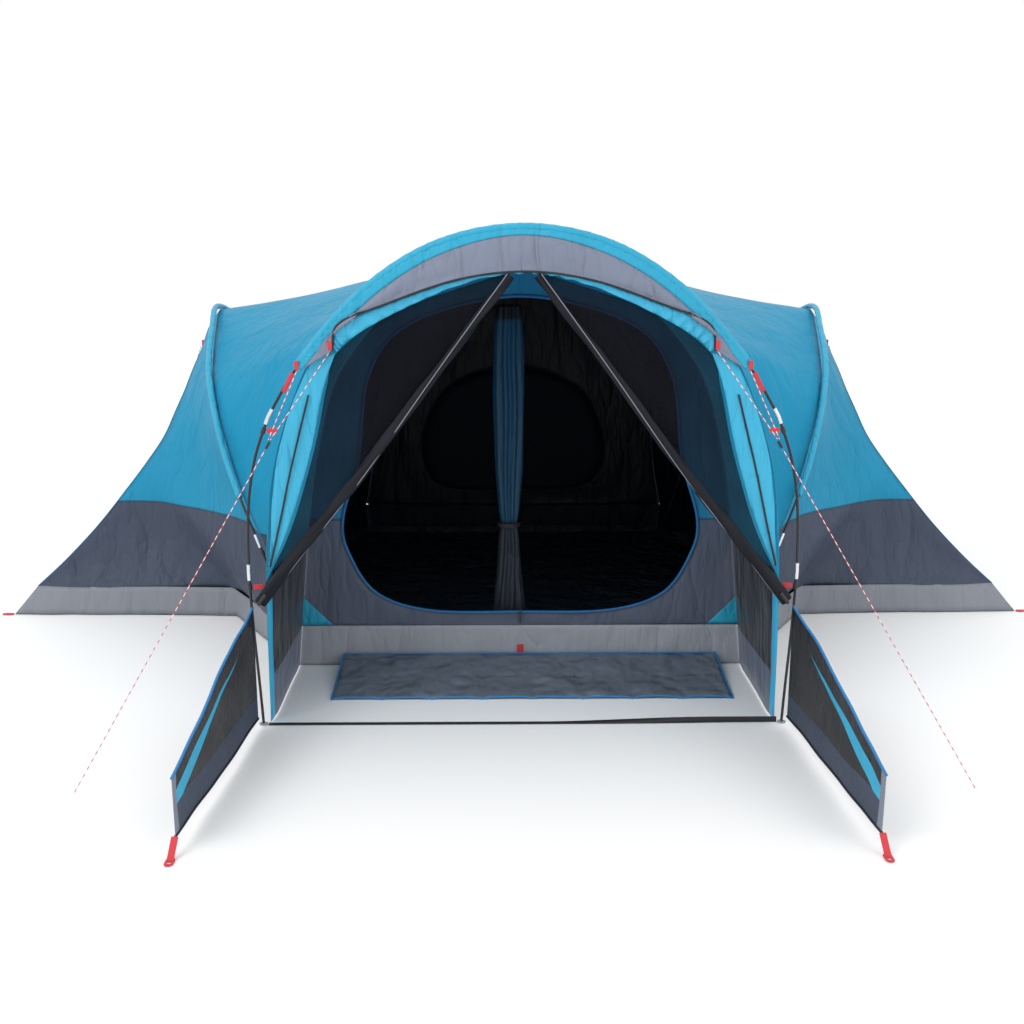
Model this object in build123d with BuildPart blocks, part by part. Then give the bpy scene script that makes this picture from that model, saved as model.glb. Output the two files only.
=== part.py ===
from build123d import *
import os
from math import radians, tan

os.makedirs("parts", exist_ok=True)

# Family camping tent: a front porch under an arch pole, a sleeping room behind it and a wing on
# each side that hangs from its own leaning pole. Millimetres, +Z up, the ground is z = 0 and
# the porch looks towards -Y. Every place below is written for the +X side and mirrored for -X.

# --- driving dimensions -------------------------------------------------------------------
FRONT = -1193.0           # plane of the front arch pole
PORCH = 690.0             # depth of the porch, from the arch pole to the inner wall
ROOM = 2730.0             # depth of the sleeping room, from the inner wall to the rear wall
REAR_GAP = 40.0           # rear arch pole stands this far behind the rear wall
CLOTH = 3.0               # thickness given to every sheet of cloth
HEM = 150.0               # height of the pale mud skirt
FOOT = 4.0                # height of the lowest thread of the skirts
POLE_R = 5.5              # fibreglass pole
POLE_BORE = 2.5
SHOCK_CORD_R = 1.25
FERRULE_R = 7.8
FERRULE_PLAY = 0.5
FERRULE_LENGTH = 64.0
SLEEVE_R = 13.5
CORD_R = 1.5
EYELET_R = 8.0
FLAP_LIFT = 40.0          # the door flap's hinge edge stands this far above the ground
SIDES = {"left": -1, "right": 1}

WALL = FRONT + PORCH
REAR = WALL + ROOM
MIDDLE = (WALL + REAR) / 2
REAR_ARCH = REAR + REAR_GAP

# Half outlines as (x, z), from the foot to the top.
ARCH = [(1045, 8), (1066, 400), (1070, 800), (1035, 1070), (940, 1300), (785, 1520), (565, 1740),
        (305, 1888), (0, 1942)]
WALL_EDGE = [(1030, HEM + 42), (985, 450), (955, 720), (910, 1000), (840, 1270), (700, 1500),
             (520, 1670), (280, 1810), (0, 1862)]
DOOR = [(0, 256), (412, 264), (654, 346), (773, 525), (800, 690), (722, 968), (663, 1347),
        (470, 1570), (0, 1680)]
WINDOW = [(0, 300), (440, 310), (600, 450), (615, 670), (480, 960), (250, 1085), (0, 1125)]

# Wing pole and seams as (x, distance behind the front arch, z); the rear half is the mirror.
WING_POLE = [(1045, 690, 8), (1157, 750, 450), (1288, 840, 740), (1410, 1020, 990),
             (1530, 1320, 1280), (1600, 1700, 1500), (1650, 2055, 1600)]
POLE_SEAM = [(1080, 770, HEM), (1160, 835, 450), (1282, 890, 735), (1400, 1060, 985),
             (1455, 1160, 1110), (1490, 1250, 1205), (1530, 1390, 1295), (1592, 1740, 1478),
             (1632, 2055, 1582)]
ROOF_SEAM = [(1040, 712, HEM), (985, 712, 450), (955, 712, 720), (910, 712, 1000),
             (840, 712, 1270), (702, 712, 1490), (553, 714, 1636), (552, 1150, 1697),
             (551, 2055, 1806)]
CORNER_SEAM = [(2552, 1512, HEM), (2400, 1545, 290), (2235, 1590, 465), (2085, 1650, 655),
               (1985, 1695, 790), (1900, 1740, 920), (1840, 1790, 1060), (1800, 1835, 1160),
               (1765, 1885, 1265), (1725, 1945, 1375), (1690, 1995, 1490), (1640, 2051, 1579)]
FRONT_HEM = [(2552, 1512, HEM), (2250, 1480, HEM), (1900, 1475, HEM), (1500, 1440, HEM),
             (1225, 980, HEM), (1084, 766, HEM), (1164, 830, 446), (1287, 885, 730),
             (1405, 1055, 980), (1523, 1345, 1262), (1597, 1736, 1471), (1644, 2050, 1573)]
HEM_LINE = [(1080, 770, HEM), (1225, 980, HEM), (1500, 1440, HEM), (1900, 1475, HEM),
            (2250, 1480, HEM), (2552, 1512, HEM)]
FOOT_LINE = [(1050, 740, FOOT), (1200, 960, FOOT), (1490, 1440, FOOT), (1900, 1470, FOOT),
             (2300, 1472, FOOT), (2676, 1482, FOOT)]
MAT_WIDTH = 1715.0
MAT_SHIFT = 45.0          # the mat lies this far off the middle
CURTAIN_X = -50.0         # the divider curtain hangs left of the middle
MAT_RISE = 62.0           # the mat climbs this far up the threshold
FLAP_REACH = 985.0        # how far the opened door flap is pulled forward
FLAP_SPREAD = 50.0        # and how far outwards over that length


# --- helpers ------------------------------------------------------------------------------
def place(points, side, mirrored=False):
    """Turn (x, distance behind the front arch, z) into points on one side of the tent."""
    spots = []
    for x, back, z in points:
        y = 2 * MIDDLE - (FRONT + back) if mirrored else FRONT + back
        spots.append(Vector(side * x, y, z))
    return spots


def in_plane(outline, y, side):
    return [Vector(side * x, y, z) for x, z in outline]


def whole(outline, y):
    """Both halves of an arch outline, from the left foot over the top to the right foot."""
    return in_plane(outline, y, -1) + in_plane(outline, y, 1)[-2::-1]


def bend_radii(points, share):
    """Radii of the arcs at the corners; share is how much of each straight run they take."""
    radii = []
    for before, here, after in zip(points, points[1:], points[2:]):
        half_turn = radians((here - before).get_angle(after - here) / 2)
        reach = min((here - before).length, (after - here).length)
        radii.append(share * reach / tan(half_turn))
    return radii


def tube(points, outer, bore=0.0, share=0.45):
    """Round tube along straight runs joined by tangent arcs."""
    with BuildPart() as run:
        with BuildLine() as path:
            if len(points) == 2:
                Line(*points)
            else:
                FilletPolyline(*points, radius=bend_radii(points, share))
        with BuildSketch(Plane(origin=path.line @ 0, z_dir=path.line % 0)):
            Circle(outer)
            if bore > 0:
                Circle(bore, mode=Mode.SUBTRACT)
        sweep(path=path.wire())
    return run.part


def cloth(rows, thickness=CLOTH):
    """Closed sheet of even thickness over a grid of points, given as rows of equal length."""
    high, wide = len(rows), len(rows[0])
    facets = []
    for i in range(high - 1):
        for j in range(wide - 1):
            corners = [(i, j), (i, j + 1), (i + 1, j + 1), (i + 1, j)]
            facets.append(corners[:3])
            facets.append([corners[0], corners[2], corners[3]])
    key = {}
    for i in range(high):
        for j in range(wide):
            spot = rows[i][j]
            key[i, j] = (round(spot.X, 2), round(spot.Y, 2), round(spot.Z, 2))
    normals = {}
    kept = []
    for facet in facets:
        names = [key[corner] for corner in facet]
        if len(set(names)) < 3:
            continue
        a, b, c = (Vector(*name) for name in names)
        normal = (b - a).cross(c - a)
        if normal.length < 1.0:
            continue
        kept.append(names)
        for name in names:
            normals[name] = normals.get(name, Vector(0, 0, 0)) + normal
    lift = {name: normal.normalized() * (thickness / 2) for name, normal in normals.items()}

    def skin(name, sign):
        return Vector(*name) + lift[name] * sign

    faces = []
    rims = {}
    for names in kept:
        faces.append(Face(Wire.make_polygon([skin(n, 1) for n in names])))
        faces.append(Face(Wire.make_polygon([skin(n, -1) for n in reversed(names)])))
        for start, end in zip(names, names[1:] + names[:1]):
            if (end, start) in rims:
                del rims[end, start]
            else:
                rims[start, end] = True
    for start, end in rims:
        outer_start, outer_end = skin(start, 1), skin(end, 1)
        inner_start, inner_end = skin(start, -1), skin(end, -1)
        faces.append(Face(Wire.make_polygon([outer_start, inner_start, inner_end])))
        faces.append(Face(Wire.make_polygon([outer_start, inner_end, outer_end])))
    with BuildPart() as sheet:
        add(Solid(Shell(faces)))
    return sheet.part


def closed_outline(outline, share=1.0):
    """Face inside a closed outline given as a half, scaled about its middle height."""
    centre = (outline[0][1] + outline[-1][1]) / 2
    scaled = [(x * share, centre + (z - centre) * share) for x, z in outline]
    loop = [(v.X, v.Z) for v in whole(scaled, 0)]
    with BuildSketch() as area:
        with BuildLine():
            Spline(*loop[1:-1], loop[0], periodic=True)
        make_face()
    return area.sketch


def arch_plate(outline, y, opening):
    """Flat wall in an XZ plane under an arch outline, with an opening."""
    with BuildPart() as wall:
        with BuildSketch(Plane.XZ.offset(-y)):
            with BuildLine():
                rim = Spline(*[(v.X, v.Z) for v in whole(outline, 0)])
                Line(rim @ 1, rim @ 0)
            make_face()
            add(opening, mode=Mode.SUBTRACT)
        extrude(amount=CLOTH / 2, both=True)
    return wall.part


def strip(start, end, width, thickness, across):
    """Flat band of webbing from start to end."""
    along = end - start
    plane = Plane(origin=start, x_dir=across, z_dir=along)
    with BuildPart() as band:
        with BuildSketch(plane):
            Rectangle(width, thickness)
        extrude(amount=along.length)
    return band.part


def save(part, name):
    part.label = name
    export_step(part, f"parts/{name}.step")


def mirrored_ends(points):
    return points + [Vector(p.X, 2 * MIDDLE - p.Y, p.Z) for p in reversed(points[:-1])]


# --- poles --------------------------------------------------------------------------------
SEGMENTS = 8              # fibreglass lengths in each pole
STEPS = 4                 # straight runs in each length
JOINT_GAP = 1.5
CLIP_DROP = 58.0          # a clip sits this far below its ferrule
TIGHT = 0.2               # short bends, so ferrules and sleeves keep clear of the pole


def pole_runs(points):
    """Split a smooth route into the lengths of a pole, each as a list of points."""
    curve = Spline(*points, mode=Mode.PRIVATE)
    gap = JOINT_GAP / curve.length
    runs = []
    for number in range(SEGMENTS):
        start = number / SEGMENTS + (gap if number else 0)
        end = (number + 1) / SEGMENTS - (gap if number < SEGMENTS - 1 else 0)
        runs.append([curve @ (start + (end - start) * i / STEPS) for i in range(STEPS + 1)])
    return runs


def chain(runs):
    """One list of points along the whole pole."""
    return [point for run in runs for point in run[:-1]] + [runs[-1][-1]]


REAR_OUTLINE = [(1064, 8), (1030, 450), (995, 720), (948, 1000), (875, 1275), (725, 1515),
                (535, 1695), (288, 1838), (0, 1892)]
poles = {"front_arch_pole": pole_runs(whole(ARCH, FRONT)),
         "rear_arch_pole": pole_runs(whole(REAR_OUTLINE, REAR_ARCH))}
for side_name, side in SIDES.items():
    poles[f"wing_pole_{side_name}"] = pole_runs(mirrored_ends(place(WING_POLE, side)))

for pole_name, runs in poles.items():
    with BuildPart() as pole:
        for run in runs:
            add(tube(run, POLE_R, POLE_BORE))
    save(pole.part, pole_name)

with BuildPart() as ferrules:
    for runs in poles.values():
        for before, after in zip(runs, runs[1:]):
            joint = (before[-1] + after[0]) * 0.5
            half = FERRULE_LENGTH / 2
            first = joint + (before[-2] - before[-1]).normalized() * half
            last = joint + (after[1] - after[0]).normalized() * half
            add(tube([first, joint, last], FERRULE_R, POLE_R + FERRULE_PLAY, TIGHT))
save(ferrules.part, "pole_ferrules")

with BuildPart() as shock_cords:
    for runs in poles.values():
        add(tube([point for run in runs for point in run], SHOCK_CORD_R))
save(shock_cords.part, "shock_cords")

# Each pole end stands on a steel pin that is held by a ring on the corner webbing.
with BuildPart() as pole_tips:
    for runs in poles.values():
        for end in (runs[0][0], runs[-1][-1]):
            with BuildSketch(Plane(origin=Vector(end.X, end.Y, 0), z_dir=(0, 0, 1))):
                Circle(POLE_R - 0.5)
            extrude(amount=7.0)
save(pole_tips.part, "pole_tips")


# --- pole sleeves and clips ---------------------------------------------------------------
def sleeve(runs, first):
    points = chain(runs)
    last = len(points) - 1 - first
    start = (points[first - 1] + points[first]) * 0.5
    end = (points[last] + points[last + 1]) * 0.5
    return tube([start] + points[first:last + 1] + [end], SLEEVE_R, SLEEVE_R - 2.0, TIGHT)


save(sleeve(poles["front_arch_pole"], 10), "front_pole_sleeve")
save(sleeve(poles["rear_arch_pole"], 10), "rear_pole_sleeve")
for side_name in SIDES:
    save(sleeve(poles[f"wing_pole_{side_name}"], 6), f"wing_pole_sleeve_{side_name}")


def clip_spots(runs, joints):
    """Middle and direction of the clips just below the lowest joints, at both ends."""
    spots = []
    for joint in joints:
        for run, flip in ((runs[joint - 1], -1), (runs[SEGMENTS - joint], 1)):
            end, beyond = (run[-1], run[-2]) if flip < 0 else (run[0], run[1])
            away = (beyond - end).normalized()
            spots.append((end + away * CLIP_DROP, away))
    return spots


front_clips = clip_spots(poles["front_arch_pole"], (1, 2))
all_clips = front_clips + clip_spots(poles["rear_arch_pole"], (1, 2))
for side_name in SIDES:
    all_clips += clip_spots(poles[f"wing_pole_{side_name}"], (1,))
with BuildPart() as clips:
    for middle, away in all_clips:
        with BuildSketch(Plane(origin=middle - away * 11, z_dir=away)):
            Circle(POLE_R + 3.5)
            Circle(POLE_R + 0.3, mode=Mode.SUBTRACT)
        extrude(amount=22)
save(clips.part, "pole_clips")

# Red webbing tabs tie the front clips to the cloth, and one holds the mat at the threshold.
with BuildPart() as tabs:
    for middle, away in front_clips:
        inward = -1 if middle.X > 0 else 1
        start = middle + Vector(inward * (POLE_R + 8), 0, 0)
        add(strip(start, start + Vector(inward * 36, 5, 0), 20, 2, (0, 0, 1)))
    with BuildSketch(Plane.XZ.offset(-(WALL - 4))):
        with Locations((0, MAT_RISE + 14)):
            Rectangle(30, 44)
    extrude(amount=2)
save(tabs.part, "red_webbing_tabs")

with BuildPart() as feet:
    for x, y in [(1045, FRONT), (1045, WALL), (1064, REAR_ARCH), (1045, REAR)]:
        for side in SIDES.values():
            with BuildSketch(Plane(origin=(side * x, y, 1.0), z_dir=(0, 0, 1))):
                Circle(17)
                Circle(12, mode=Mode.SUBTRACT)
            extrude(amount=4.0)
save(feet.part, "pole_foot_rings")

with BuildPart() as strap:
    with BuildSketch(Plane(origin=(-1024, FRONT, 1.5), x_dir=(0, 1, 0), z_dir=(1, 0, 0))):
        Rectangle(25, 1.6)
    extrude(amount=2048)
save(strap.part, "ground_strap")

# --- porch --------------------------------------------------------------------------------
porch_front = [(868, 1325), (790, 1476), (765, 1500), (551, 1718), (298, 1866), (0, 1920)]
porch_back = [(815, 1310), (735, 1455), (700, 1490), (510, 1665), (276, 1800), (0, 1850)]
save(cloth([whole(porch_front, FRONT + 14), whole(porch_back, WALL - 6)]), "porch_roof")

for side_name, side in SIDES.items():
    front_seam = in_plane([(1018, FOOT), (1013, 450), (998, 780), (961, 1050), (890, 1250),
                           (874, 1310)], FRONT + 14, side)
    back_seam = in_plane([(1022, FOOT), (978, 450), (948, 720), (903, 1000), (848, 1220),
                          (822, 1290)], WALL - 6, side)
    save(cloth([front_seam, back_seam]), f"porch_wall_{side_name}")

with BuildPart() as visor:
    with BuildSketch(Plane.XZ.offset(-(FRONT - 16))):
        with BuildLine():
            top = Spline(*[(v.X, v.Z) for v in whole([(800, 1489), (765, 1528), (553, 1728),
                                                     (300, 1874), (0, 1929)], 0)])
            Line(top @ 1, (711, 1489))
            low = Spline((711, 1489), (698, 1580), (517, 1661), (136, 1778), (-136, 1778),
                         (-517, 1661), (-698, 1580), (-711, 1489))
            Line(low @ 1, top @ 0)
        make_face()
    extrude(amount=CLOTH / 2, both=True)
save(visor.part, "visor")

BAND_TOP = [(711, 1500), (690, 1570), (510, 1652), (136, 1770), (66, 1776)]
BAND_LOW = [(702, 1492), (640, 1540), (480, 1634), (130, 1757), (66, 1768)]
with BuildPart() as band:
    for side in SIDES.values():
        add(cloth([in_plane(BAND_TOP, FRONT - 6, side), in_plane(BAND_LOW, FRONT - 6, side)]))
save(band.part, "visor_band")

MESH_EDGE = [(700, 1484), (745, 1360), (790, 1160), (835, 1004), (884, 855), (930, 745),
             (980, 640)]
ROLL = [(66, 1736), (330, 1412), (620, 1046), (860, 738), (1018, 536)]
for side_name, side in SIDES.items():
    surround_out = in_plane([(784, 1474), (874, 1300), (922, 1160), (950, 1050), (972, 900),
                             (980, 790), (992, 660)], FRONT, side)
    surround_in = in_plane([(712, 1478), (757, 1352), (802, 1158), (847, 1000), (896, 852),
                            (941, 744), (984, 655)], FRONT, side)
    save(cloth([surround_out, surround_in]), f"door_surround_{side_name}")

    with BuildPart() as mesh:
        with BuildSketch(Plane.XZ.offset(-(FRONT + 8))):
            with BuildLine():
                Polyline((side * 112, 1752), (side * 480, 1626), (side * 690, 1490),
                         *[(side * x, z) for x, z in MESH_EDGE[1:]],
                         *[(side * (x + 22), z + 20) for x, z in ROLL[-2:0:-1]], close=True)
            make_face()
        extrude(amount=CLOTH / 2, both=True)
    save(mesh.part, f"door_mesh_{side_name}")
    roll_line = [Vector(side * x, FRONT - 8 - 18 * x / 1046, z) for x, z in ROLL]
    save(tube(roll_line, 19.0), f"door_roll_{side_name}")

# Toggles that hold the rolls back, low on the arch.
with BuildPart() as toggles:
    for side in SIDES.values():
        top = Vector(side * 1000, FRONT - 56, 560)
        with BuildSketch(Plane(origin=top, z_dir=(side * 0.6, 0, -0.8))):
            Circle(7)
        extrude(amount=52)
    fillet(toggles.edges(), 2.0)
save(toggles.part, "roll_toggles")

# --- opened door flaps --------------------------------------------------------------------
FLAP_LENGTHS = [0, 246, 492, 739, FLAP_REACH]
FLAP_TOPS = [500, 452, 398, 310, 250]
FLAP_FEET = [FLAP_LIFT, 42, 46, 50, 55]
for side_name, side in SIDES.items():
    crest, toe = [], []
    for reach, high, low in zip(FLAP_LENGTHS, FLAP_TOPS, FLAP_FEET):
        x = side * (1058 + FLAP_SPREAD * reach / FLAP_REACH)
        y = FRONT - 34 - reach * 0.985
        crest.append(Vector(x, y, high))
        toe.append(Vector(x, y, low))
    save(cloth([crest, toe]), f"door_flap_{side_name}")
    tip = Vector(side * (1058 + FLAP_SPREAD), FRONT - 34 - FLAP_REACH * 0.985, 58)
    peg_end = Vector(side * 1112, FRONT - 1060, 4)
    with BuildPart() as loop:
        add(strip(tip + Vector(0, -6, 0), peg_end, 22, 2.4, (1, 0, 0)))
        with BuildSketch(Plane(origin=peg_end + Vector(0, -6, -2), z_dir=(0, 0, 1))):
            SlotOverall(50, 28, rotation=90)
            with Locations((0, -6)):
                Circle(EYELET_R, mode=Mode.SUBTRACT)
        extrude(amount=3)
    save(loop.part, f"flap_peg_loop_{side_name}")

# --- walls of the sleeping room -----------------------------------------------------------
door_face = closed_outline(DOOR)
door_inset = closed_outline(DOOR, 0.99)
save(arch_plate(WALL_EDGE, WALL, door_face), "inner_wall")
with BuildPart() as door_piping:
    with BuildSketch(Plane.XZ.offset(-(WALL - 5))):
        add(door_face)
        add(door_inset, mode=Mode.SUBTRACT)
    extrude(amount=2.5)
save(door_piping.part, "inner_door_zip")
with BuildPart() as slider:
    with BuildSketch(Plane(origin=(0, WALL - 14, 246), z_dir=(0, 0, 1))):
        Rectangle(16, 9)
    extrude(amount=14)
    with BuildSketch(Plane(origin=(0, WALL - 17.5, 206), z_dir=(0, 0, 1))):
        Rectangle(8, 2)
    extrude(amount=46)
save(slider.part, "zip_slider")

with BuildPart() as wall_skirts:
    for y, width in ((WALL, 2040), (REAR, 2020)):
        with BuildSketch(Plane.XZ.offset(-y)):
            with Locations((0, (FOOT + HEM + 40) / 2)):
                Rectangle(width, HEM + 40 - FOOT)
        extrude(amount=CLOTH / 2, both=True)
save(wall_skirts.part, "wall_skirts")

window_face = closed_outline(WINDOW)
window_inset = closed_outline(WINDOW, 0.998)
save(arch_plate([(1012, HEM + 42)] + WALL_EDGE[1:], REAR, window_face), "rear_wall")
with BuildPart() as window:
    with BuildSketch(Plane.XZ.offset(-REAR)):
        add(window_inset)
    extrude(amount=CLOTH / 2 - 0.5, both=True)
save(window.part, "rear_window_mesh")

# --- roof and wings -----------------------------------------------------------------------
roof_rows = []
for back, edge_z, mid_z, top_z in [(712, 1630, 1780, 1842), (1150, 1696, 1800, 1856),
                                   (2055, 1804, 1862, 1888)]:
    y = FRONT + back
    half = [(546, edge_z), (290, mid_z), (0, top_z)]
    roof_rows.append(whole(half, y))
roof_rows += [[Vector(p.X, 2 * MIDDLE - p.Y, p.Z) for p in row] for row in roof_rows[1::-1]]
save(cloth(roof_rows), "main_roof")

for side_name, side in SIDES.items():
    inner_seam = mirrored_ends(place(ROOF_SEAM, side))
    pole_seam = mirrored_ends(place(POLE_SEAM, side))
    save(cloth([inner_seam, pole_seam]), f"wing_roof_{side_name}")
    for end_name, flipped in (("front", False), ("rear", True)):
        corner = place(CORNER_SEAM, side, flipped)
        hem = place(FRONT_HEM, side, flipped)
        save(cloth([corner, hem]), f"wing_{end_name}_{side_name}")
    step = Vector(side * 5, 0, 0)
    front_edge = [p + step for p in place(CORNER_SEAM, side)]
    rear_edge = [p + step for p in place(CORNER_SEAM, side, True)]
    save(cloth([front_edge, rear_edge]), f"wing_end_{side_name}")
    hem_top = mirrored_ends(place(HEM_LINE, side) + [Vector(side * 2557, MIDDLE, HEM)])
    hem_foot = mirrored_ends(place(FOOT_LINE, side) + [Vector(side * 2680, MIDDLE, FOOT)])
    hem_top = [p - Vector(0, 0, 6) for p in hem_top]
    save(cloth([hem_top, hem_foot]), f"wing_skirt_{side_name}")

with BuildPart() as corner_loops:
    for side in SIDES.values():
        for back, flip in ((1482, False), (1482, True)):
            corner = place([(2700, back, 2)], side, flip)[0]
            with BuildSketch(Plane(origin=corner + Vector(side * 12, 0, 0), z_dir=(0, 0, 1))):
                SlotOverall(60, 28)
                with Locations((side * 14, 0)):
                    Circle(EYELET_R, mode=Mode.SUBTRACT)
            extrude(amount=3)
save(corner_loops.part, "corner_peg_loops")

# --- floor --------------------------------------------------------------------------------
with BuildPart() as groundsheet:
    with BuildSketch():
        half = [(1022, WALL + 4), (1190, FRONT + 980), (1485, FRONT + 1452),
                (2640, FRONT + 1494)]
        ring = [(x, y) for x, y in half] + [(x, 2 * MIDDLE - y) for x, y in reversed(half)]
        ring += [(-x, y) for x, y in reversed(ring)]
        with BuildLine():
            Polyline(*ring, close=True)
        make_face()
    extrude(amount=2.5)
save(groundsheet.part, "groundsheet")

mat_back = Vector(MAT_SHIFT, WALL - 26, MAT_RISE)
mat_front = Vector(MAT_SHIFT, FRONT + 255, 1.2)
with BuildPart() as mat:
    with BuildSketch(Plane(origin=mat_back, x_dir=(1, 0, 0), z_dir=mat_front - mat_back)):
        Rectangle(MAT_WIDTH, 2.0)
    extrude(amount=(mat_front - mat_back).length)
save(mat.part, "porch_mat")

# --- divider curtain, tied into a bundle --------------------------------------------------
with BuildPart() as curtain:
    with BuildSketch(Plane((CURTAIN_X, WALL + 130, 0), (1, 0, 0), (0, -1, 0))):
        with BuildLine():
            Polyline((0, 205), (88, 205), (80, 330), (62, 520), (46, 640), (72, 900), (84, 1250),
                     (78, 1500), (66, 1640), (0, 1640), close=True)
        make_face()
    revolve(axis=Axis((CURTAIN_X, WALL + 130, 0), (0, 0, 1)))
save(curtain.part, "divider_curtain")
with BuildPart() as tie:
    with BuildSketch(Plane(origin=(CURTAIN_X, WALL + 130, 632), z_dir=(0, 0, 1))):
        Circle(54)
        Circle(50, mode=Mode.SUBTRACT)
    extrude(amount=18)
save(tie.part, "curtain_tie")

# --- guylines -----------------------------------------------------------------------------
GUY_JUNCTION = (945, -114, 1165)
GUY_PEG = (1582, -590, CORD_R)
BRIDLE_ENDS = [(724, -20, 1492), (852, -16, 1418)]
WING_GUY_TOP = (1760, 2060, 1380)
WING_GUY_PEG = (2570, 3300, CORD_R)
for side_name, side in SIDES.items():
    junction, peg = place([GUY_JUNCTION, GUY_PEG], side)
    along = (peg - junction).normalized()
    with BuildPart() as guyline:
        add(tube([junction + along * 34, peg], CORD_R))
        for anchor, shift in zip(place(BRIDLE_ENDS, side), (-4, 4)):
            add(tube([junction + Vector(side * shift, 0, 8), anchor], CORD_R))
    save(guyline.part, f"guyline_front_{side_name}")
    save(tube(place([WING_GUY_TOP, WING_GUY_PEG], side), CORD_R), f"guyline_wing_{side_name}")
    with BuildPart() as tensioner:
        with BuildSketch(Plane(origin=junction, x_dir=(0, 1, 0), z_dir=along)):
            SlotOverall(24, 9)
            with GridLocations(7, 0, 3, 1):
                Circle(CORD_R + 0.4, mode=Mode.SUBTRACT)
        extrude(amount=28)
    save(tensioner.part, f"guy_tensioner_{side_name}")

with BuildPart() as guy_tabs:
    for side in SIDES.values():
        for end in place(BRIDLE_ENDS, side):
            with BuildSketch(Plane(origin=end + Vector(0, -3, 4), z_dir=(0, 0, 1))):
                Rectangle(16, 4)
            extrude(amount=34)
        top = place([WING_GUY_TOP], side)[0]
        with BuildSketch(Plane(origin=top - Vector(side * 18, 5, -4), z_dir=(0, 0, 1))):
            Rectangle(16, 20)
        extrude(amount=30)
save(guy_tabs.part, "guy_tabs")
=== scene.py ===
import math
from itertools import accumulate

import bpy
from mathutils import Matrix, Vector, noise


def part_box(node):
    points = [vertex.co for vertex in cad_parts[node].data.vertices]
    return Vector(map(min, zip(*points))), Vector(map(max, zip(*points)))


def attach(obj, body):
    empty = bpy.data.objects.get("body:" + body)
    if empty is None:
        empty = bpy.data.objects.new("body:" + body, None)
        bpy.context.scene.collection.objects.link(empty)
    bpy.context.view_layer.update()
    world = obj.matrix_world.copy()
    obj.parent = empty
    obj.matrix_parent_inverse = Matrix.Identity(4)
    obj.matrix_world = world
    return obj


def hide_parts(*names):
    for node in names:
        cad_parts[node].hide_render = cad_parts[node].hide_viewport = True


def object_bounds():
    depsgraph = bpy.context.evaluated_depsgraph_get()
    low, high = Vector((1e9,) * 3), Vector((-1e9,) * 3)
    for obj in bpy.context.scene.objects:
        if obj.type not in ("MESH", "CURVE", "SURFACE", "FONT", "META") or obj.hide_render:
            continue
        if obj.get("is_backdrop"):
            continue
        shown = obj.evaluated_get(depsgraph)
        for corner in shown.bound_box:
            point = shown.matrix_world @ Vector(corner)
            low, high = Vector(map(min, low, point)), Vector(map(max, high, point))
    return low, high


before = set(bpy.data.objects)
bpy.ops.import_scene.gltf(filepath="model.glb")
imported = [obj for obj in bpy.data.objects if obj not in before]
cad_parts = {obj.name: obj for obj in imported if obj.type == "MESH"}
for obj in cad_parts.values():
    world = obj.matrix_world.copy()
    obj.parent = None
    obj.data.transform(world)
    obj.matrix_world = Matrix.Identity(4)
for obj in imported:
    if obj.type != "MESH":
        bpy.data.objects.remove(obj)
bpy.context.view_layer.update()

# Where the tent's main planes are. The porch looks towards -Y and +X is the viewer's right.
arch_low, arch_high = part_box("front_arch_pole")
wall_low, wall_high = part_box("inner_wall")
rear_low, rear_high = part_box("rear_wall")
FRONT = (arch_low.y + arch_high.y) / 2
WALL = (wall_low.y + wall_high.y) / 2
REAR = (rear_low.y + rear_high.y) / 2
MIDDLE = (WALL + REAR) / 2
SIDES = {"left": -1, "right": 1}
FORWARD = Vector((0, -1, 0))

# Half outlines as (x, z), from the foot to the top; the left half mirrors the right.
ARCH = [(1.045, 0.008), (1.066, 0.4), (1.07, 0.8), (1.035, 1.07), (0.94, 1.3), (0.785, 1.52),
        (0.565, 1.74), (0.305, 1.888), (0, 1.942)]
REAR_ARCH = [(1.064, 0.008), (1.03, 0.45), (0.995, 0.72), (0.948, 1.0), (0.875, 1.275),
             (0.725, 1.515), (0.535, 1.695), (0.288, 1.838), (0, 1.892)]
PORCH_FRONT = [(1.018, 0.006), (1.013, 0.45), (0.998, 0.78), (0.961, 1.05), (0.876, 1.31),
               (0.776, 1.495), (0.556, 1.722), (0.300, 1.872), (0, 1.928)]
PORCH_BACK = [(1.022, 0.006), (0.978, 0.45), (0.948, 0.72), (0.903, 1.0), (0.82, 1.30),
              (0.70, 1.485), (0.51, 1.665), (0.276, 1.80), (0, 1.85)]
WALL_EDGE = [(1.03, 0.19), (0.985, 0.45), (0.955, 0.72), (0.91, 1.0), (0.84, 1.27),
             (0.7, 1.5), (0.52, 1.67), (0.28, 1.81), (0, 1.862)]
DOOR = [(0, 0.256), (0.412, 0.264), (0.654, 0.346), (0.773, 0.525), (0.8, 0.69),
        (0.722, 0.968), (0.663, 1.347), (0.47, 1.57), (0, 1.68)]
WINDOW = [(0, 0.3), (0.44, 0.31), (0.6, 0.45), (0.615, 0.67), (0.48, 0.96), (0.25, 1.085),
          (0, 1.125)]

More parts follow.
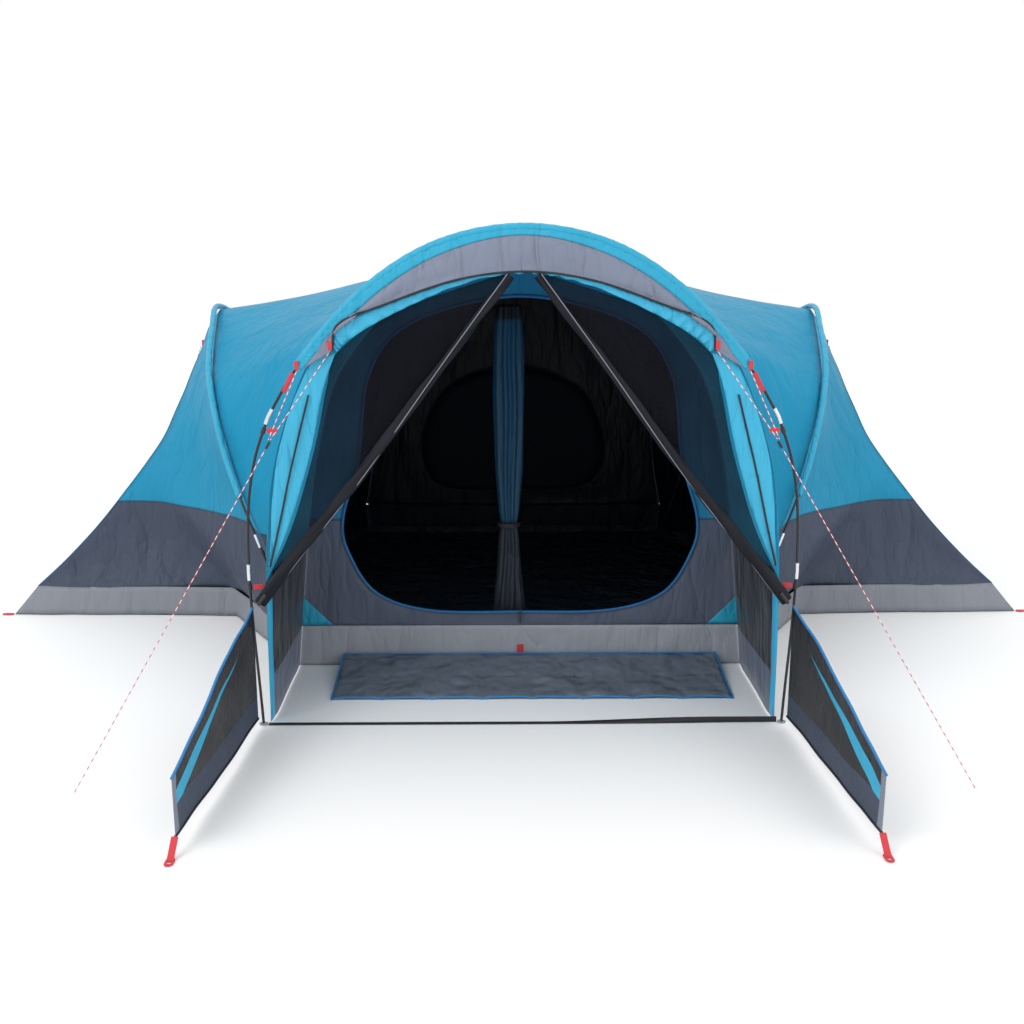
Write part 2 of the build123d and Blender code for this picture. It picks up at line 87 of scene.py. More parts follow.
# Seams as (x, distance behind the front arch, z) on the right; the left and rear mirror them.
WING_POLE = [(1.045, 0.69, 0.008), (1.157, 0.75, 0.45), (1.288, 0.84, 0.74),
             (1.41, 1.02, 0.99), (1.53, 1.32, 1.28), (1.6, 1.7, 1.5), (1.65, 2.055, 1.6)]
POLE_SEAM = [(1.08, 0.77, 0.15), (1.16, 0.835, 0.45), (1.282, 0.89, 0.735),
             (1.4, 1.06, 0.985), (1.455, 1.16, 1.11), (1.49, 1.25, 1.205),
             (1.53, 1.39, 1.295), (1.592, 1.74, 1.478), (1.632, 2.055, 1.582)]
ROOF_SEAM = [(1.04, 0.693, 0.15), (0.985, 0.693, 0.45), (0.955, 0.693, 0.72),
             (0.91, 0.693, 1.0), (0.84, 0.693, 1.27), (0.702, 0.693, 1.49),
             (0.553, 0.695, 1.636), (0.552, 1.15, 1.697), (0.551, 2.055, 1.806)]
CORNER_SEAM = [(2.552, 1.512, 0.15), (2.4, 1.545, 0.29), (2.235, 1.59, 0.465),
               (2.085, 1.65, 0.655), (1.985, 1.695, 0.79), (1.9, 1.74, 0.92),
               (1.84, 1.79, 1.06), (1.8, 1.835, 1.16), (1.765, 1.885, 1.265),
               (1.725, 1.945, 1.375), (1.69, 1.995, 1.49), (1.64, 2.053, 1.58)]
FRONT_HEM = [(2.552, 1.512, 0.15), (2.25, 1.48, 0.15), (1.9, 1.475, 0.15),
             (1.5, 1.44, 0.15), (1.225, 0.98, 0.15), (1.08, 0.77, 0.15),
             (1.16, 0.835, 0.45), (1.282, 0.89, 0.735), (1.4, 1.06, 0.985),
             (1.518, 1.35, 1.268), (1.592, 1.74, 1.478), (1.642, 2.055, 1.586)]
HEM_LINE = [(1.03, 0.696, 0.18), (1.08, 0.77, 0.17), (1.225, 0.98, 0.168), (1.5, 1.44, 0.158),
            (1.9, 1.475, 0.154), (2.25, 1.48, 0.152), (2.552, 1.512, 0.15),
            (2.557, 2.055, 0.15)]
FOOT_LINE = [(1.02, 0.696, 0.004), (1.05, 0.74, 0.004), (1.2, 0.96, 0.004), (1.49, 1.44, 0.004),
             (1.9, 1.47, 0.004), (2.3, 1.472, 0.004), (2.676, 1.482, 0.004),
             (2.68, 2.055, 0.004)]

# Guylines, from the tensioner or the wing's tab down to the peg.
GUY_JUNCTION = (0.945, -0.114, 1.165)
GUY_PEG = (1.582, -0.59, 0.0015)
BRIDLE_ENDS = [(0.724, -0.02, 1.492), (0.852, -0.016, 1.418)]
WING_GUY_TOP = (1.76, 2.06, 1.38)
WING_GUY_PEG = (2.57, 3.3, 0.0015)
CORD_DIAMETER = 0.003

GREY_TOP = 0.585          # height where the blue cloth meets the dark grey
INNER_GREY_TOP = 0.69     # the same on the inner wall
THRESHOLD = 0.19          # top of the pale skirts under the two walls
CLOTH = 0.0012            # thickness shown for tent cloth
NET = 0.0006              # thickness shown for nets
THREAD = 0.0024           # pitch of the tent cloth's weave
SLEEVE_ENDS = (0.297, 0.703)         # shares of an arch's length that its sleeve covers
WING_SLEEVE_ENDS = (0.172, 0.828)


# --- geometry helpers ---------------------------------------------------------------------
def place(points, side, rear=False):
    """Seam points on one side of the tent, from the front or mirrored to the rear."""
    spots = []
    for x, back, z in points:
        y = 2 * MIDDLE - (FRONT + back) if rear else FRONT + back
        spots.append(Vector((side * x, y, z)))
    return spots


def mirrored_ends(points):
    """A seam that runs on over the middle of the room to its mirror image at the rear."""
    return points + [Vector((p.x, 2 * MIDDLE - p.y, p.z)) for p in reversed(points[:-1])]


def whole(outline, y):
    """Both halves of an outline, from the left foot over the top to the right foot."""
    left = [Vector((-x, y, z)) for x, z in outline]
    return left + [Vector((-p.x, y, p.z)) for p in reversed(left[:-1])]


def on_curve(points, t, closed=False):
    """Point on a Catmull-Rom curve; t runs from 0 to the number of spans."""
    count = len(points)
    spans = count if closed else count - 1
    i = min(int(t), spans - 1)
    f = t - i
    if closed:
        a, b, c, d = (points[(i + k) % count] for k in (-1, 0, 1, 2))
    else:
        b, c = points[i], points[i + 1]
        a = points[i - 1] if i > 0 else b * 2 - c
        d = points[i + 2] if i + 2 < count else c * 2 - b
    return 0.5 * ((2 * b) + (c - a) * f + (2 * a - 5 * b + 4 * c - d) * f * f
                  + (3 * b - a - 3 * c + d) * f ** 3)


def smooth_line(points, count):
    """count + 1 points along a smooth curve, evenly spaced by length."""
    steps = 400
    fine = [on_curve(points, i * (len(points) - 1) / steps) for i in range(steps + 1)]
    lengths = [0.0, *accumulate((q - p).length for p, q in zip(fine, fine[1:]))]
    line, k = [], 0
    for i in range(count + 1):
        want = lengths[-1] * i / count
        while k < steps - 1 and lengths[k + 1] < want:
            k += 1
        step = lengths[k + 1] - lengths[k]
        f = (want - lengths[k]) / step if step > 1e-9 else 0.0
        line.append(fine[k].lerp(fine[k + 1], min(max(f, 0.0), 1.0)))
    return line


def on_line(points, t):
    """As on_curve, but straight from point to point."""
    i = min(int(t), len(points) - 2)
    return points[i].lerp(points[i + 1], t - i)


def patch(rows, along, across, follow=on_curve):
    """Grid of points between edges that match point for point."""
    spans = len(rows[0]) - 1
    grid = []
    for i in range(along + 1):
        t = spans * i / along
        cut = [follow(row, t) for row in rows]
        if len(cut) == 2:
            grid.append([cut[0].lerp(cut[1], j / across) for j in range(across + 1)])
        else:
            steps = (len(cut) - 1) / across
            grid.append([on_curve(cut, j * steps) for j in range(across + 1)])
    return grid


def pushed(grid, amount, outward):
    """Move each point along the cloth's normal by amount(u, v, point).

    The normal points outward, which is away from the middle of the room when None is given.
    """
    high, wide = len(grid) - 1, len(grid[0]) - 1
    centre = Vector((0, MIDDLE, 0.5))
    moved = []
    for i, row in enumerate(grid):
        line = []
        for j, p in enumerate(row):
            along = grid[min(i + 1, high)][j] - grid[max(i - 1, 0)][j]
            across = row[min(j + 1, wide)] - row[max(j - 1, 0)]
            n = along.cross(across)
            n = n.normalized() if n.length > 1e-12 else Vector((0, 0, 0))
            facing = outward if outward is not None else p - centre
            if n.dot(facing) < 0:
                n = -n
            line.append(p + n * amount(i / high, j / wide, p))
        moved.append(line)
    return moved


def linked(name, data):
    obj = bpy.data.objects.new(name, data)
    bpy.context.scene.collection.objects.link(obj)
    return obj


def mesh_object(name, points, faces, uvs=None, smooth=True):
    mesh = bpy.data.meshes.new(name)
    mesh.from_pydata([tuple(p) for p in points], [], faces)
    if uvs:
        layer = mesh.uv_layers.new(name="cloth")
        for loop in mesh.loops:
            layer.data[loop.index].uv = uvs[loop.vertex_index]
    mesh.update()
    for face in mesh.polygons:
        face.use_smooth = smooth
    return linked(name, mesh)


def thicken(obj, thickness):
    solid = obj.modifiers.new("thickness", "SOLIDIFY")
    solid.thickness = thickness
    solid.offset = 0


def cloth_object(name, grid, thickness=CLOTH, loop=False):
    """Sheet through a grid of points, with UVs in metres along and across the cloth."""
    high, wide = len(grid), len(grid[0])
    points = [p for row in grid for p in row]
    middle = grid[high // 2]
    across = [0.0, *accumulate((q - p).length for p, q in zip(middle, middle[1:]))]
    along = [0.0, *accumulate((b[wide // 2] - a[wide // 2]).length
                              for a, b in zip(grid, grid[1:]))]
    uvs = [(along[i], across[j]) for i in range(high) for j in range(wide)]
    faces = []
    for i in range(high - 1 if not loop else high):
        below = (i + 1) % high
        for j in range(wide - 1):
            faces.append((i * wide + j, i * wide + j + 1, below * wide + j + 1,
                          below * wide + j))
    obj = mesh_object(name, points, faces, uvs)
    thicken(obj, thickness)
    return obj


def tube_object(name, line, radius, sides=12, loop=False):
    """Round tube; radius(share, angle) may change along and round it."""
    rings = []
    count = len(line)
    up = Vector((0, 1, 0))
    for k, p in enumerate(line):
        before = line[(k - 1) % count] if loop else line[max(k - 1, 0)]
        after = line[(k + 1) % count] if loop else line[min(k + 1, count - 1)]
        along = (after - before).normalized()
        side = along.cross(up)
        if side.length < 0.1:
            side = along.cross(Vector((1, 0, 0)))
        side.normalize()
        up = side.cross(along).normalized()
        ring = []
        for s in range(sides):
            angle = 2 * math.pi * s / sides
            reach = radius(k / (count - 1), angle)
            ring.append(p + (side * math.cos(angle) + up * math.sin(angle)) * reach)
        rings.append(ring)
    points = [p for ring in rings for p in ring]
    faces = []
    for k in range(count if loop else count - 1):
        for s in range(sides):
            a, b = k * sides + s, k * sides + (s + 1) % sides
            below = ((k + 1) % count) * sides
            faces.append((a, b, below + (s + 1) % sides, below + s))
    if not loop:
        faces.append(tuple(reversed(range(sides))))
        faces.append(tuple(range((count - 1) * sides, count * sides)))
    uvs = [(k * 0.02, s / sides * 0.06) for k in range(count) for s in range(sides)]
    return mesh_object(name, points, faces, uvs)


def ripple(p, scale, seed):
    return noise.noise(Vector((p.x * scale[0] + seed, p.y * scale[1], p.z * scale[2])))


# --- materials ----------------------------------------------------------------------------
class Nodes:
    """Short way to write a material's node tree."""

    def __init__(self, name, colour, roughness):
        self.material = bpy.data.materials.new(name)
        self.material.use_nodes = True
        self.tree = self.material.node_tree
        self.shader = self.tree.nodes["Principled BSDF"]
        self.put("Base Color", (*colour, 1))
        self.put("Roughness", roughness)
        self.colour = None
        self.height = None

    def add(self, kind, **values):
        node = self.tree.nodes.new(kind)
        for key, value in values.items():
            if hasattr(node, key):
                setattr(node, key, value)
            else:
                node.inputs[key.replace("_", " ")].default_value = value
        return node

    def put(self, socket, value):
        self.shader.inputs[socket].default_value = value

    def join(self, output, socket):
        self.tree.links.new(output, socket)

    def maths(self, operation, *values):
        node = self.add("ShaderNodeMath", operation=operation)
        for socket, value in zip(node.inputs, values):
            if isinstance(value, (int, float)):
                socket.default_value = value
            else:
                self.join(value, socket)
        return node.outputs[0]

    def place(self):
        return self.add("ShaderNodeTexCoord").outputs["Object"]

    def cloth_place(self):
        return self.add("ShaderNodeUVMap", uv_map="cloth").outputs["UV"]

    def split(self, vector=None):
        """x, y and z of a vector, or of the object's own place."""
        parts = self.add("ShaderNodeSeparateXYZ")
        self.join(vector or self.place(), parts.inputs[0])
        return parts.outputs

    def wave(self, value, period):
        return self.maths("SINE", self.maths("MULTIPLY", value, 2 * math.pi / period))

    def noise(self, scale, detail=3.0, stretch=(1, 1, 1)):
        squeeze = self.add("ShaderNodeMapping")
        squeeze.inputs["Scale"].default_value = stretch
        self.join(self.place(), squeeze.inputs["Vector"])
        node = self.add("ShaderNodeTexNoise")
        node.inputs["Scale"].default_value = scale
        node.inputs["Detail"].default_value = detail
        self.join(squeeze.outputs[0], node.inputs["Vector"])
        return node.outputs["Fac"]

    def mix(self, share, first, second):
        node = self.add("ShaderNodeMix", data_type="RGBA")
        for socket, value in ((node.inputs[0], share), (node.inputs[6], first),
                              (node.inputs[7], second)):
            if isinstance(value, (int, float)):
                socket.default_value = value
            elif isinstance(value, tuple):
                socket.default_value = (*value, 1) if len(value) == 3 else value
            else:
                self.join(value, socket)
        return node.outputs[2]

    def weave(self, period):
        """1 where threads cross and 0 between them, along and across the cloth."""
        parts = self.split(self.cloth_place())
        warp, weft = self.wave(parts[0], period), self.wave(parts[1], period)
        return self.maths("MULTIPLY_ADD", self.maths("MULTIPLY", warp, weft), 0.5, 0.5)

    def bump(self, height, strength, distance):
        node = self.add("ShaderNodeBump")
        node.inputs["Strength"].default_value = strength
        node.inputs["Distance"].default_value = distance
        self.join(height, node.inputs["Height"])
        if self.height is not None:
            self.join(self.height, node.inputs["Normal"])
        self.height = node.outputs["Normal"]

    def painted_glow_inside(self, strength, inside):
        """Painted glow: emission stands in for daylight that comes through the cloth and lights
        its inner face a little.
        """
        if self.colour is not None:
            self.join(self.colour, self.shader.inputs["Emission Color"])
        self.join(self.maths("MULTIPLY", inside, strength),
                  self.shader.inputs["Emission Strength"])

    def done(self):
        if self.colour is not None:
            self.join(self.colour, self.shader.inputs["Base Color"])
        if self.height is not None:
            self.join(self.height, self.shader.inputs["Normal"])
        return self.material


def varied(m, colour, share, scale):
    """The colour with soft lighter and darker areas."""
    light = tuple(min(1.0, c * (1 + share)) for c in colour)
    dark = tuple(c * (1 - share) for c in colour)
    return m.mix(m.noise(scale, 4.0), dark, light)


def seen_inside(m, centre_y):
    """1 on the faces that look towards the middle of a room, 0 on those that look out."""
    where = m.add("ShaderNodeNewGeometry")
    away = m.add("ShaderNodeVectorMath", operation="SUBTRACT")
    m.join(where.outputs["Position"], away.inputs[0])
    away.inputs[1].default_value = (0, centre_y, 0.6)
    facing = m.add("ShaderNodeVectorMath", operation="DOT_PRODUCT")
    m.join(where.outputs["True Normal"], facing.inputs[0])
    m.join(away.outputs[0], facing.inputs[1])
    return m.maths("LESS_THAN", facing.outputs["Value"], 0.0)


def creases(m, strength):
    """Sharp pulled creases, mostly running up the cloth."""
    for scale, squeeze, depth in ((5.5, (1, 1, 0.3), 0.05), (17.0, (1, 1, 0.22), 0.018)):
        ridge = m.maths("ABSOLUTE", m.maths("SUBTRACT", m.noise(scale, 1.5, squeeze), 0.5))
        m.bump(m.maths("POWER", ridge, 0.55), strength, depth)


def tent_cloth(name, colour, roughness=0.42, bands=(), crumple=0.35, inside_shade=None, gloss=0.3):
    """Coated polyester. bands are (height, colour below it) from the top one down.

    inside_shade is painted shade, the dark colour given to the inner face; gloss is the strength
    of the shine and sheen.
    """
    m = Nodes(name, colour, roughness)
    m.put("Specular IOR Level", gloss)
    m.put("Sheen Weight", gloss * 0.2)
    m.put("Sheen Roughness", 0.4)
    m.colour = varied(m, colour, 0.10, 2.2)
    height = m.split()[2]
    for level, below in bands:
        under = m.maths("LESS_THAN", height, level)
        m.colour = m.mix(under, m.colour, varied(m, below, 0.08, 3.0))
        off = m.maths("ABSOLUTE", m.maths("SUBTRACT", height, level))
        seam = m.maths("LESS_THAN", off, 0.006)
        m.colour = m.mix(m.maths("MULTIPLY", seam, 0.55), m.colour, (0.02, 0.03, 0.05))
    # Painted shade: faces that look into the room get the dark inside colour.
    if inside_shade:
        m.colour = m.mix(seen_inside(m, MIDDLE), m.colour, varied(m, inside_shade, 0.3, 2.0))
    m.bump(m.weave(THREAD), 0.12, 0.0004)
    m.bump(m.noise(34.0, 5.0, (1, 1, 0.45)), crumple, 0.006)
    m.bump(m.noise(7.0, 3.0, (1, 1, 0.35)), crumple * 0.9, 0.04)
    creases(m, crumple)
    return m.done()


def net(name, colour, openness=0.0):
    """Insect mesh; openness is the share of light that passes, near enough."""
    m = Nodes(name, colour, 0.9 if openness else 0.6)
    m.put("Specular IOR Level", 0.0 if openness else 0.12)
    m.colour = varied(m, colour, 0.2, 5.0)
    threads = m.weave(0.0022)
    if openness:
        alpha = m.maths("MULTIPLY_ADD", m.noise(4.0, 3.0), 0.22, 0.89 - openness)
        m.join(alpha, m.shader.inputs["Alpha"])
    m.bump(threads, 0.05, 0.0003)
    m.bump(m.noise(14.0, 4.0, (1, 1, 0.4)), 0.3, 0.01)
    return m.done()


def webbing(name, colour):
    """Woven strap with slanting ribs."""
    m = Nodes(name, colour, 0.62)
    m.colour = varied(m, colour, 0.14, 30.0)
    parts = m.split()
    m.bump(m.wave(m.maths("ADD", parts[0], parts[2]), 0.0032), 0.5, 0.0006)
    m.bump(m.noise(400.0, 2.0), 0.3, 0.0004)
    return m.done()


def plain_solid(name, colour, roughness, metallic=0.0, grain=60.0):
    """Moulded plastic or metal with a fine grain and slight uneven gloss."""
    m = Nodes(name, colour, roughness)
    m.put("Metallic", metallic)
    m.colour = varied(m, colour, 0.12, 8.0)
    uneven = m.maths("MULTIPLY_ADD", m.noise(grain, 4.0), 0.16, roughness - 0.08)
    m.join(uneven, m.shader.inputs["Roughness"])
    m.bump(m.noise(grain * 8, 3.0), 0.25, 0.0003)
    return m.done()


def striped_cord(name, first, second, pitch):
    """Braided cord whose coloured fleck winds round it."""
    m = Nodes(name, first, 0.55)
    fleck = m.maths("GREATER_THAN", m.wave(m.split()[2], pitch), 0.15)
    m.colour = m.mix(fleck, first, second)
    m.bump(m.noise(900.0, 2.0), 0.5, 0.0005)
    return m.done()


def tarpaulin(name, colour, roughness=0.38):
    """Woven polyethylene with the small sharp dents of a sheet that was folded up."""
    m = Nodes(name, colour, roughness)
    m.colour = varied(m, colour, 0.20, 9.0)
    m.bump(m.noise(6.0, 2.0), 0.9, 0.09)
    m.bump(m.weave(0.003), 0.25, 0.0005)
    m.bump(m.noise(16.0, 5.0), 0.45, 0.01)
    dents = m.add("ShaderNodeTexVoronoi", feature="F1")
    dents.inputs["Scale"].default_value = 16.0
    m.join(m.place(), dents.inputs["Vector"])
    m.bump(dents.outputs["Distance"], 0.6, 0.02)
    return m.done()


def porch_material():
    """Blue canopy whose low sides are net between a blue border and a grey skirt."""
    m = Nodes("porch_cloth", BLUE, 0.42)
    m.put("Sheen Weight", 0.10)
    parts = m.split()
    net_top, border = 0.62, 0.075
    low = m.maths("LESS_THAN", parts[2], net_top)
    behind = m.maths("GREATER_THAN", parts[1], FRONT + border)
    skirt = m.maths("LESS_THAN", parts[2], THRESHOLD)
    window = m.maths("MULTIPLY", m.maths("MULTIPLY", low, behind),
                     m.maths("SUBTRACT", 1.0, skirt))
    m.colour = varied(m, BLUE, 0.10, 2.2)
    m.colour = m.mix(window, m.colour, varied(m, MESH_BLACK, 0.2, 5.0))
    m.colour = m.mix(m.maths("MULTIPLY", skirt, behind), m.colour,
                     varied(m, DARK_GREY, 0.1, 4.0))
    # Painted glow on the canopy's inner faces, standing in for daylight through the cloth.
    m.painted_glow_inside(0.42, seen_inside(m, (FRONT + WALL) / 2))
    m.bump(m.weave(THREAD), 0.12, 0.0004)
    m.bump(m.noise(8.0, 4.0, (1, 1, 0.5)), 0.5, 0.04)
    creases(m, 0.5)
    return m.done()


BLUE = (0.013, 0.245, 0.415)
BRIGHT_BLUE = (0.045, 0.40, 0.62)
DARK_GREY = (0.058, 0.072, 0.108)
PALE_GREY = (0.225, 0.24, 0.275)
VISOR_GREY = (0.175, 0.20, 0.275)
MESH_BLACK = (0.010, 0.011, 0.015)
# Painted shade: a nearly black copy of the blue for the cloth's faces inside the dark room.
INSIDE_SHADE = (0.005, 0.013, 0.028)     # the room's cloth seen from inside

porch_cloth = porch_material()
fly = tent_cloth("fly_cloth", BLUE, bands=[(GREY_TOP, DARK_GREY)], crumple=0.44,
                 inside_shade=INSIDE_SHADE, gloss=0.15)
roof_cloth = tent_cloth("roof_cloth", BLUE, bands=[(GREY_TOP, DARK_GREY)], crumple=0.32,
                        inside_shade=INSIDE_SHADE, gloss=0.08)
fly_plain = tent_cloth("fly_blue_cloth", BLUE, crumple=0.26, inside_shade=INSIDE_SHADE, gloss=0.08)
sleeve_cloth = tent_cloth("sleeve_cloth", (0.022, 0.33, 0.51), crumple=0.5)
seam_tape = tent_cloth("seam_tape", (0.012, 0.17, 0.30), crumple=0.3)
band_cloth = tent_cloth("band_cloth", BRIGHT_BLUE, crumple=0.6)
surround_cloth = tent_cloth("surround_cloth", BRIGHT_BLUE, crumple=0.6)
skirt_cloth = tent_cloth("skirt_cloth", PALE_GREY, 0.55, inside_shade=INSIDE_SHADE)
piping_cloth = tent_cloth("piping_cloth", PALE_GREY, 0.55)
visor_cloth = tent_cloth("visor_cloth", VISOR_GREY, 0.5, crumple=0.6)
# Painted shade and light: the inner wall's blue is a darker copy of BLUE for its shade, and its
# grey band is a lighter copy of DARK_GREY that lifts that shade.
inner_cloth = tent_cloth("inner_cloth", (0.012, 0.19, 0.34), 0.5,
                         bands=[(INNER_GREY_TOP, (0.088, 0.105, 0.15))], inside_shade=INSIDE_SHADE)
# Painted light: a lighter copy of PALE_GREY that lifts the shade on the skirts under the walls.
threshold_cloth = tent_cloth("threshold_cloth", (0.33, 0.35, 0.39), 0.55, inside_shade=INSIDE_SHADE)
rear_cloth = tent_cloth("rear_cloth", BLUE, 0.45, bands=[(GREY_TOP, DARK_GREY)],
                        inside_shade=INSIDE_SHADE)
# Painted shade: the curtain's blue and grey are darkened for the shade inside the room; above
# 1.575 m it is nearly black.
curtain_cloth = tent_cloth("curtain_cloth", (0.006, 0.007, 0.010), 0.5,
                           bands=[(1.575, (0.006, 0.050, 0.10)), (0.655, (0.018, 0.023, 0.034))])
floor_cloth = tarpaulin("floor_cloth", (0.030, 0.042, 0.060), 0.6)
mat_cloth = tarpaulin("mat_cloth", (0.125, 0.15, 0.185), 0.33)
binding_blue = webbing("binding_blue", (0.02, 0.20, 0.48))
door_net = net("door_net", MESH_BLACK, 0.42)
roll_net = net("roll_net", (0.014, 0.015, 0.020))
window_net = net("window_net", (0.012, 0.02, 0.035))
red_web = webbing("red_web", (0.62, 0.035, 0.05))
black_web = webbing("black_web", (0.018, 0.018, 0.022))
zip_tape = webbing("zip_tape", (0.02, 0.15, 0.36))
pole_gloss = plain_solid("pole_gloss", (0.012, 0.012, 0.014), 0.3, grain=120.0)
ferrule_metal = plain_solid("ferrule_metal", (0.72, 0.73, 0.76), 0.28, 1.0, 90.0)
pin_steel = plain_solid("pin_steel", (0.55, 0.55, 0.57), 0.35, 1.0, 90.0)
black_plastic = plain_solid("black_plastic", (0.02, 0.02, 0.022), 0.48)
cord_braid = striped_cord("cord_braid", (0.82, 0.72, 0.70), (0.60, 0.04, 0.05), 0.024)
elastic = plain_solid("elastic", (0.05, 0.05, 0.05), 0.7)


def dress(node, material):
    """Give a CAD piece its material."""
    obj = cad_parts[node]
    obj.data.materials.clear()
    obj.data.materials.append(material)


def finish_piece(obj, material, nodes, body="shell"):
    obj.data.materials.append(material)
    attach(obj, body)
    if nodes:
        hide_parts(*nodes)
    return obj


def trim(name, line, radius, material, body="shell", loop=False):
    """Piping or binding sewn along a line."""
    edging = tube_object(name, line, lambda share, angle: radius, 8, loop)
    return finish_piece(edging, material, [], body)


def both_sides(make):
    for side_name, side in SIDES.items():
        make(side_name, side)


# --- camera -------------------------------------------------------------------------------
CAMERA_BACK = 4.161       # in front of the arch
CAMERA_X = -0.091
CAMERA_HEIGHT = 1.773
CAMERA_PITCH = 0.213
CAMERA_YAW = 0.011
FOCAL_PIXELS = 1100
FRAME_PIXELS = 1024
camera = linked("camera", bpy.data.cameras.new("camera"))
camera.data.sensor_width = 36.0
camera.data.lens = camera.data.sensor_width * FOCAL_PIXELS / FRAME_PIXELS
camera.location = (CAMERA_X, FRONT - CAMERA_BACK, CAMERA_HEIGHT)
camera.rotation_euler = (math.pi / 2 - CAMERA_PITCH, 0, -CAMERA_YAW)
camera.data.clip_end = 60.0
bpy.context.scene.camera = camera


# --- guylines -----------------------------------------------------------------------------
def cord_piece(name, points):
    curve = bpy.data.curves.new(name, "CURVE")
    curve.dimensions = "3D"
    spline = curve.splines.new("NURBS")
    spline.points.add(len(points) - 1)
    for point, p in zip(spline.points, points):
        point.co = (*p, 1)
    spline.order_u = 3
    spline.use_endpoint_u = True
    curve.bevel_depth = CORD_DIAMETER / 2
    curve.bevel_resolution = 3
    curve.use_fill_caps = True
    return linked(name, curve)


def straight(start, end):
    return [start, start.lerp(end, 0.5), end]


def make_guylines():
    for side_name, side in SIDES.items():
        junction, peg = place([GUY_JUNCTION, GUY_PEG], side)
        along = (peg - junction).normalized()
        start = junction + along * 0.034
        main = cord_piece(f"guyline_{side_name}", straight(start, peg))
        finish_piece(main, cord_braid, [f"guyline_front_{side_name}"])
        for number, (anchor, shift) in enumerate(zip(place(BRIDLE_ENDS, side),
                                                     (-0.004, 0.004))):
            foot = junction + Vector((side * shift, 0, 0.008))
            run = cord_piece(f"guy_bridle_{side_name}_{number + 1}", straight(anchor, foot))
            finish_piece(run, cord_braid, [])
        top, peg = place([WING_GUY_TOP, WING_GUY_PEG], side)
        wing = cord_piece(f"wing_guyline_{side_name}", straight(top, peg))
        finish_piece(wing, cord_braid, [f"guyline_wing_{side_name}"])


make_guylines()


# --- wings --------------------------------------------------------------------------------
def soft_edge(t, width=0.12):
    """0 at both ends of 0..1 and 1 in between."""
    return min(1.0, t / width, (1 - t) / width)


def small_folds(width, scale, seed, depth):
    """Shallow folds for pushed(), fading over this share of the cloth at its two edges."""
    return lambda u, v, p: soft_edge(v, width) * (ripple(p, scale, seed) * depth)


def make_wing(side_name, side):
    seed = 10.0 if side > 0 else 30.0

    def pulled(u, v, p):
        hold = soft_edge(u) * soft_edge(v, 0.2)
        folds = ripple(p, (5, 5, 1.2), seed) * 0.012 + ripple(p, (14, 14, 3), seed) * 0.005
        return hold * (folds - 0.02 * math.sin(math.pi * v))

    for end_name, rear in (("front", False), ("rear", True)):
        grid = patch([place(CORNER_SEAM, side, rear), place(FRONT_HEM, side, rear)], 88, 26)
        grid = pushed(grid, pulled, Vector((side * 0.35, 1 if rear else -1, 0.3)))
        panel = cloth_object(f"wing_{end_name}_panel_{side_name}", grid)
        finish_piece(panel, fly, [f"wing_{end_name}_{side_name}"])

    grid = patch([place(CORNER_SEAM, side), place(CORNER_SEAM, side, True)], 72, 24)
    grid = pushed(grid, pulled, Vector((side, 0, 0.3)))
    panel = cloth_object(f"wing_end_panel_{side_name}", grid)
    finish_piece(panel, fly, [f"wing_end_{side_name}"])

    def roof_sag(u, v, p):
        hold = soft_edge(u, 0.06) * soft_edge(v, 0.25)
        folds = ripple(p, (3, 6, 3), seed + 5) * 0.010
        return hold * folds - 0.02 * math.sin(math.pi * v) * soft_edge(u, 0.2)

    rows = [mirrored_ends(place(ROOF_SEAM, side)), mirrored_ends(place(POLE_SEAM, side))]
    grid = pushed(patch(rows, 112, 26), roof_sag, Vector((side * 0.3, 0, 1)))
    roof = cloth_object(f"wing_roof_panel_{side_name}", grid)
    finish_piece(roof, roof_cloth, [f"wing_roof_{side_name}"])

    hem = mirrored_ends(place(HEM_LINE, side))
    foot = mirrored_ends(place(FOOT_LINE, side))

    def skirt_folds(u, v, p):
        return v * (ripple(p, (7, 7, 2), seed) * 0.007)

    grid = pushed(patch([hem, foot], 140, 5, on_line), skirt_folds, None)
    for row in grid:
        for p in row:
            p.z = max(p.z, 0.0012)
    skirt = cloth_object(f"mud_skirt_{side_name}", grid)
    finish_piece(skirt, skirt_cloth, [f"wing_skirt_{side_name}"])

    # Piping sewn along the seams where the wing's panels meet.
    for number, line in enumerate((place(CORNER_SEAM, side), place(CORNER_SEAM, side, True),
                                   mirrored_ends(place(POLE_SEAM, side)))):
        trim(f"wing_piping_{side_name}_{number + 1}", smooth_line(line, 120), 0.0026,
             seam_tape)


both_sides(make_wing)


# --- main roof, porch canopy --------------------------------------------------------------
def make_roofs():
    rows = []
    for back, edge_z, mid_z, top_z in [(0.693, 1.632, 1.782, 1.845), (1.15, 1.697, 1.80, 1.858),
                                       (2.055, 1.806, 1.862, 1.888)]:
        rows.append(whole([(0.551, edge_z), (0.29, mid_z), (0, top_z)], FRONT + back))
    rows += [[Vector((p.x, 2 * MIDDLE - p.y, p.z)) for p in row] for row in rows[1::-1]]
    grid = pushed(patch(rows, 36, 60),
                  lambda u, v, p: soft_edge(u) * ripple(p, (6, 2, 2), 3.0) * 0.006,
                  Vector((0, 0, 1)))
    roof = cloth_object("main_roof_panel", grid)
    finish_piece(roof, fly_plain, ["main_roof"])

    def canopy_folds(u, v, p):
        return soft_edge(v, 0.15) * (ripple(p, (7, 2, 7), 8.0) * 0.007 - 0.006)

    grid = patch([whole(PORCH_FRONT, FRONT + 0.014), whole(PORCH_BACK, WALL - 0.006)], 150, 14)
    grid = pushed(grid, canopy_folds, None)
    canopy = cloth_object("porch_canopy", grid)
    finish_piece(canopy, porch_cloth, ["porch_roof", "porch_wall_left", "porch_wall_right"])


make_roofs()


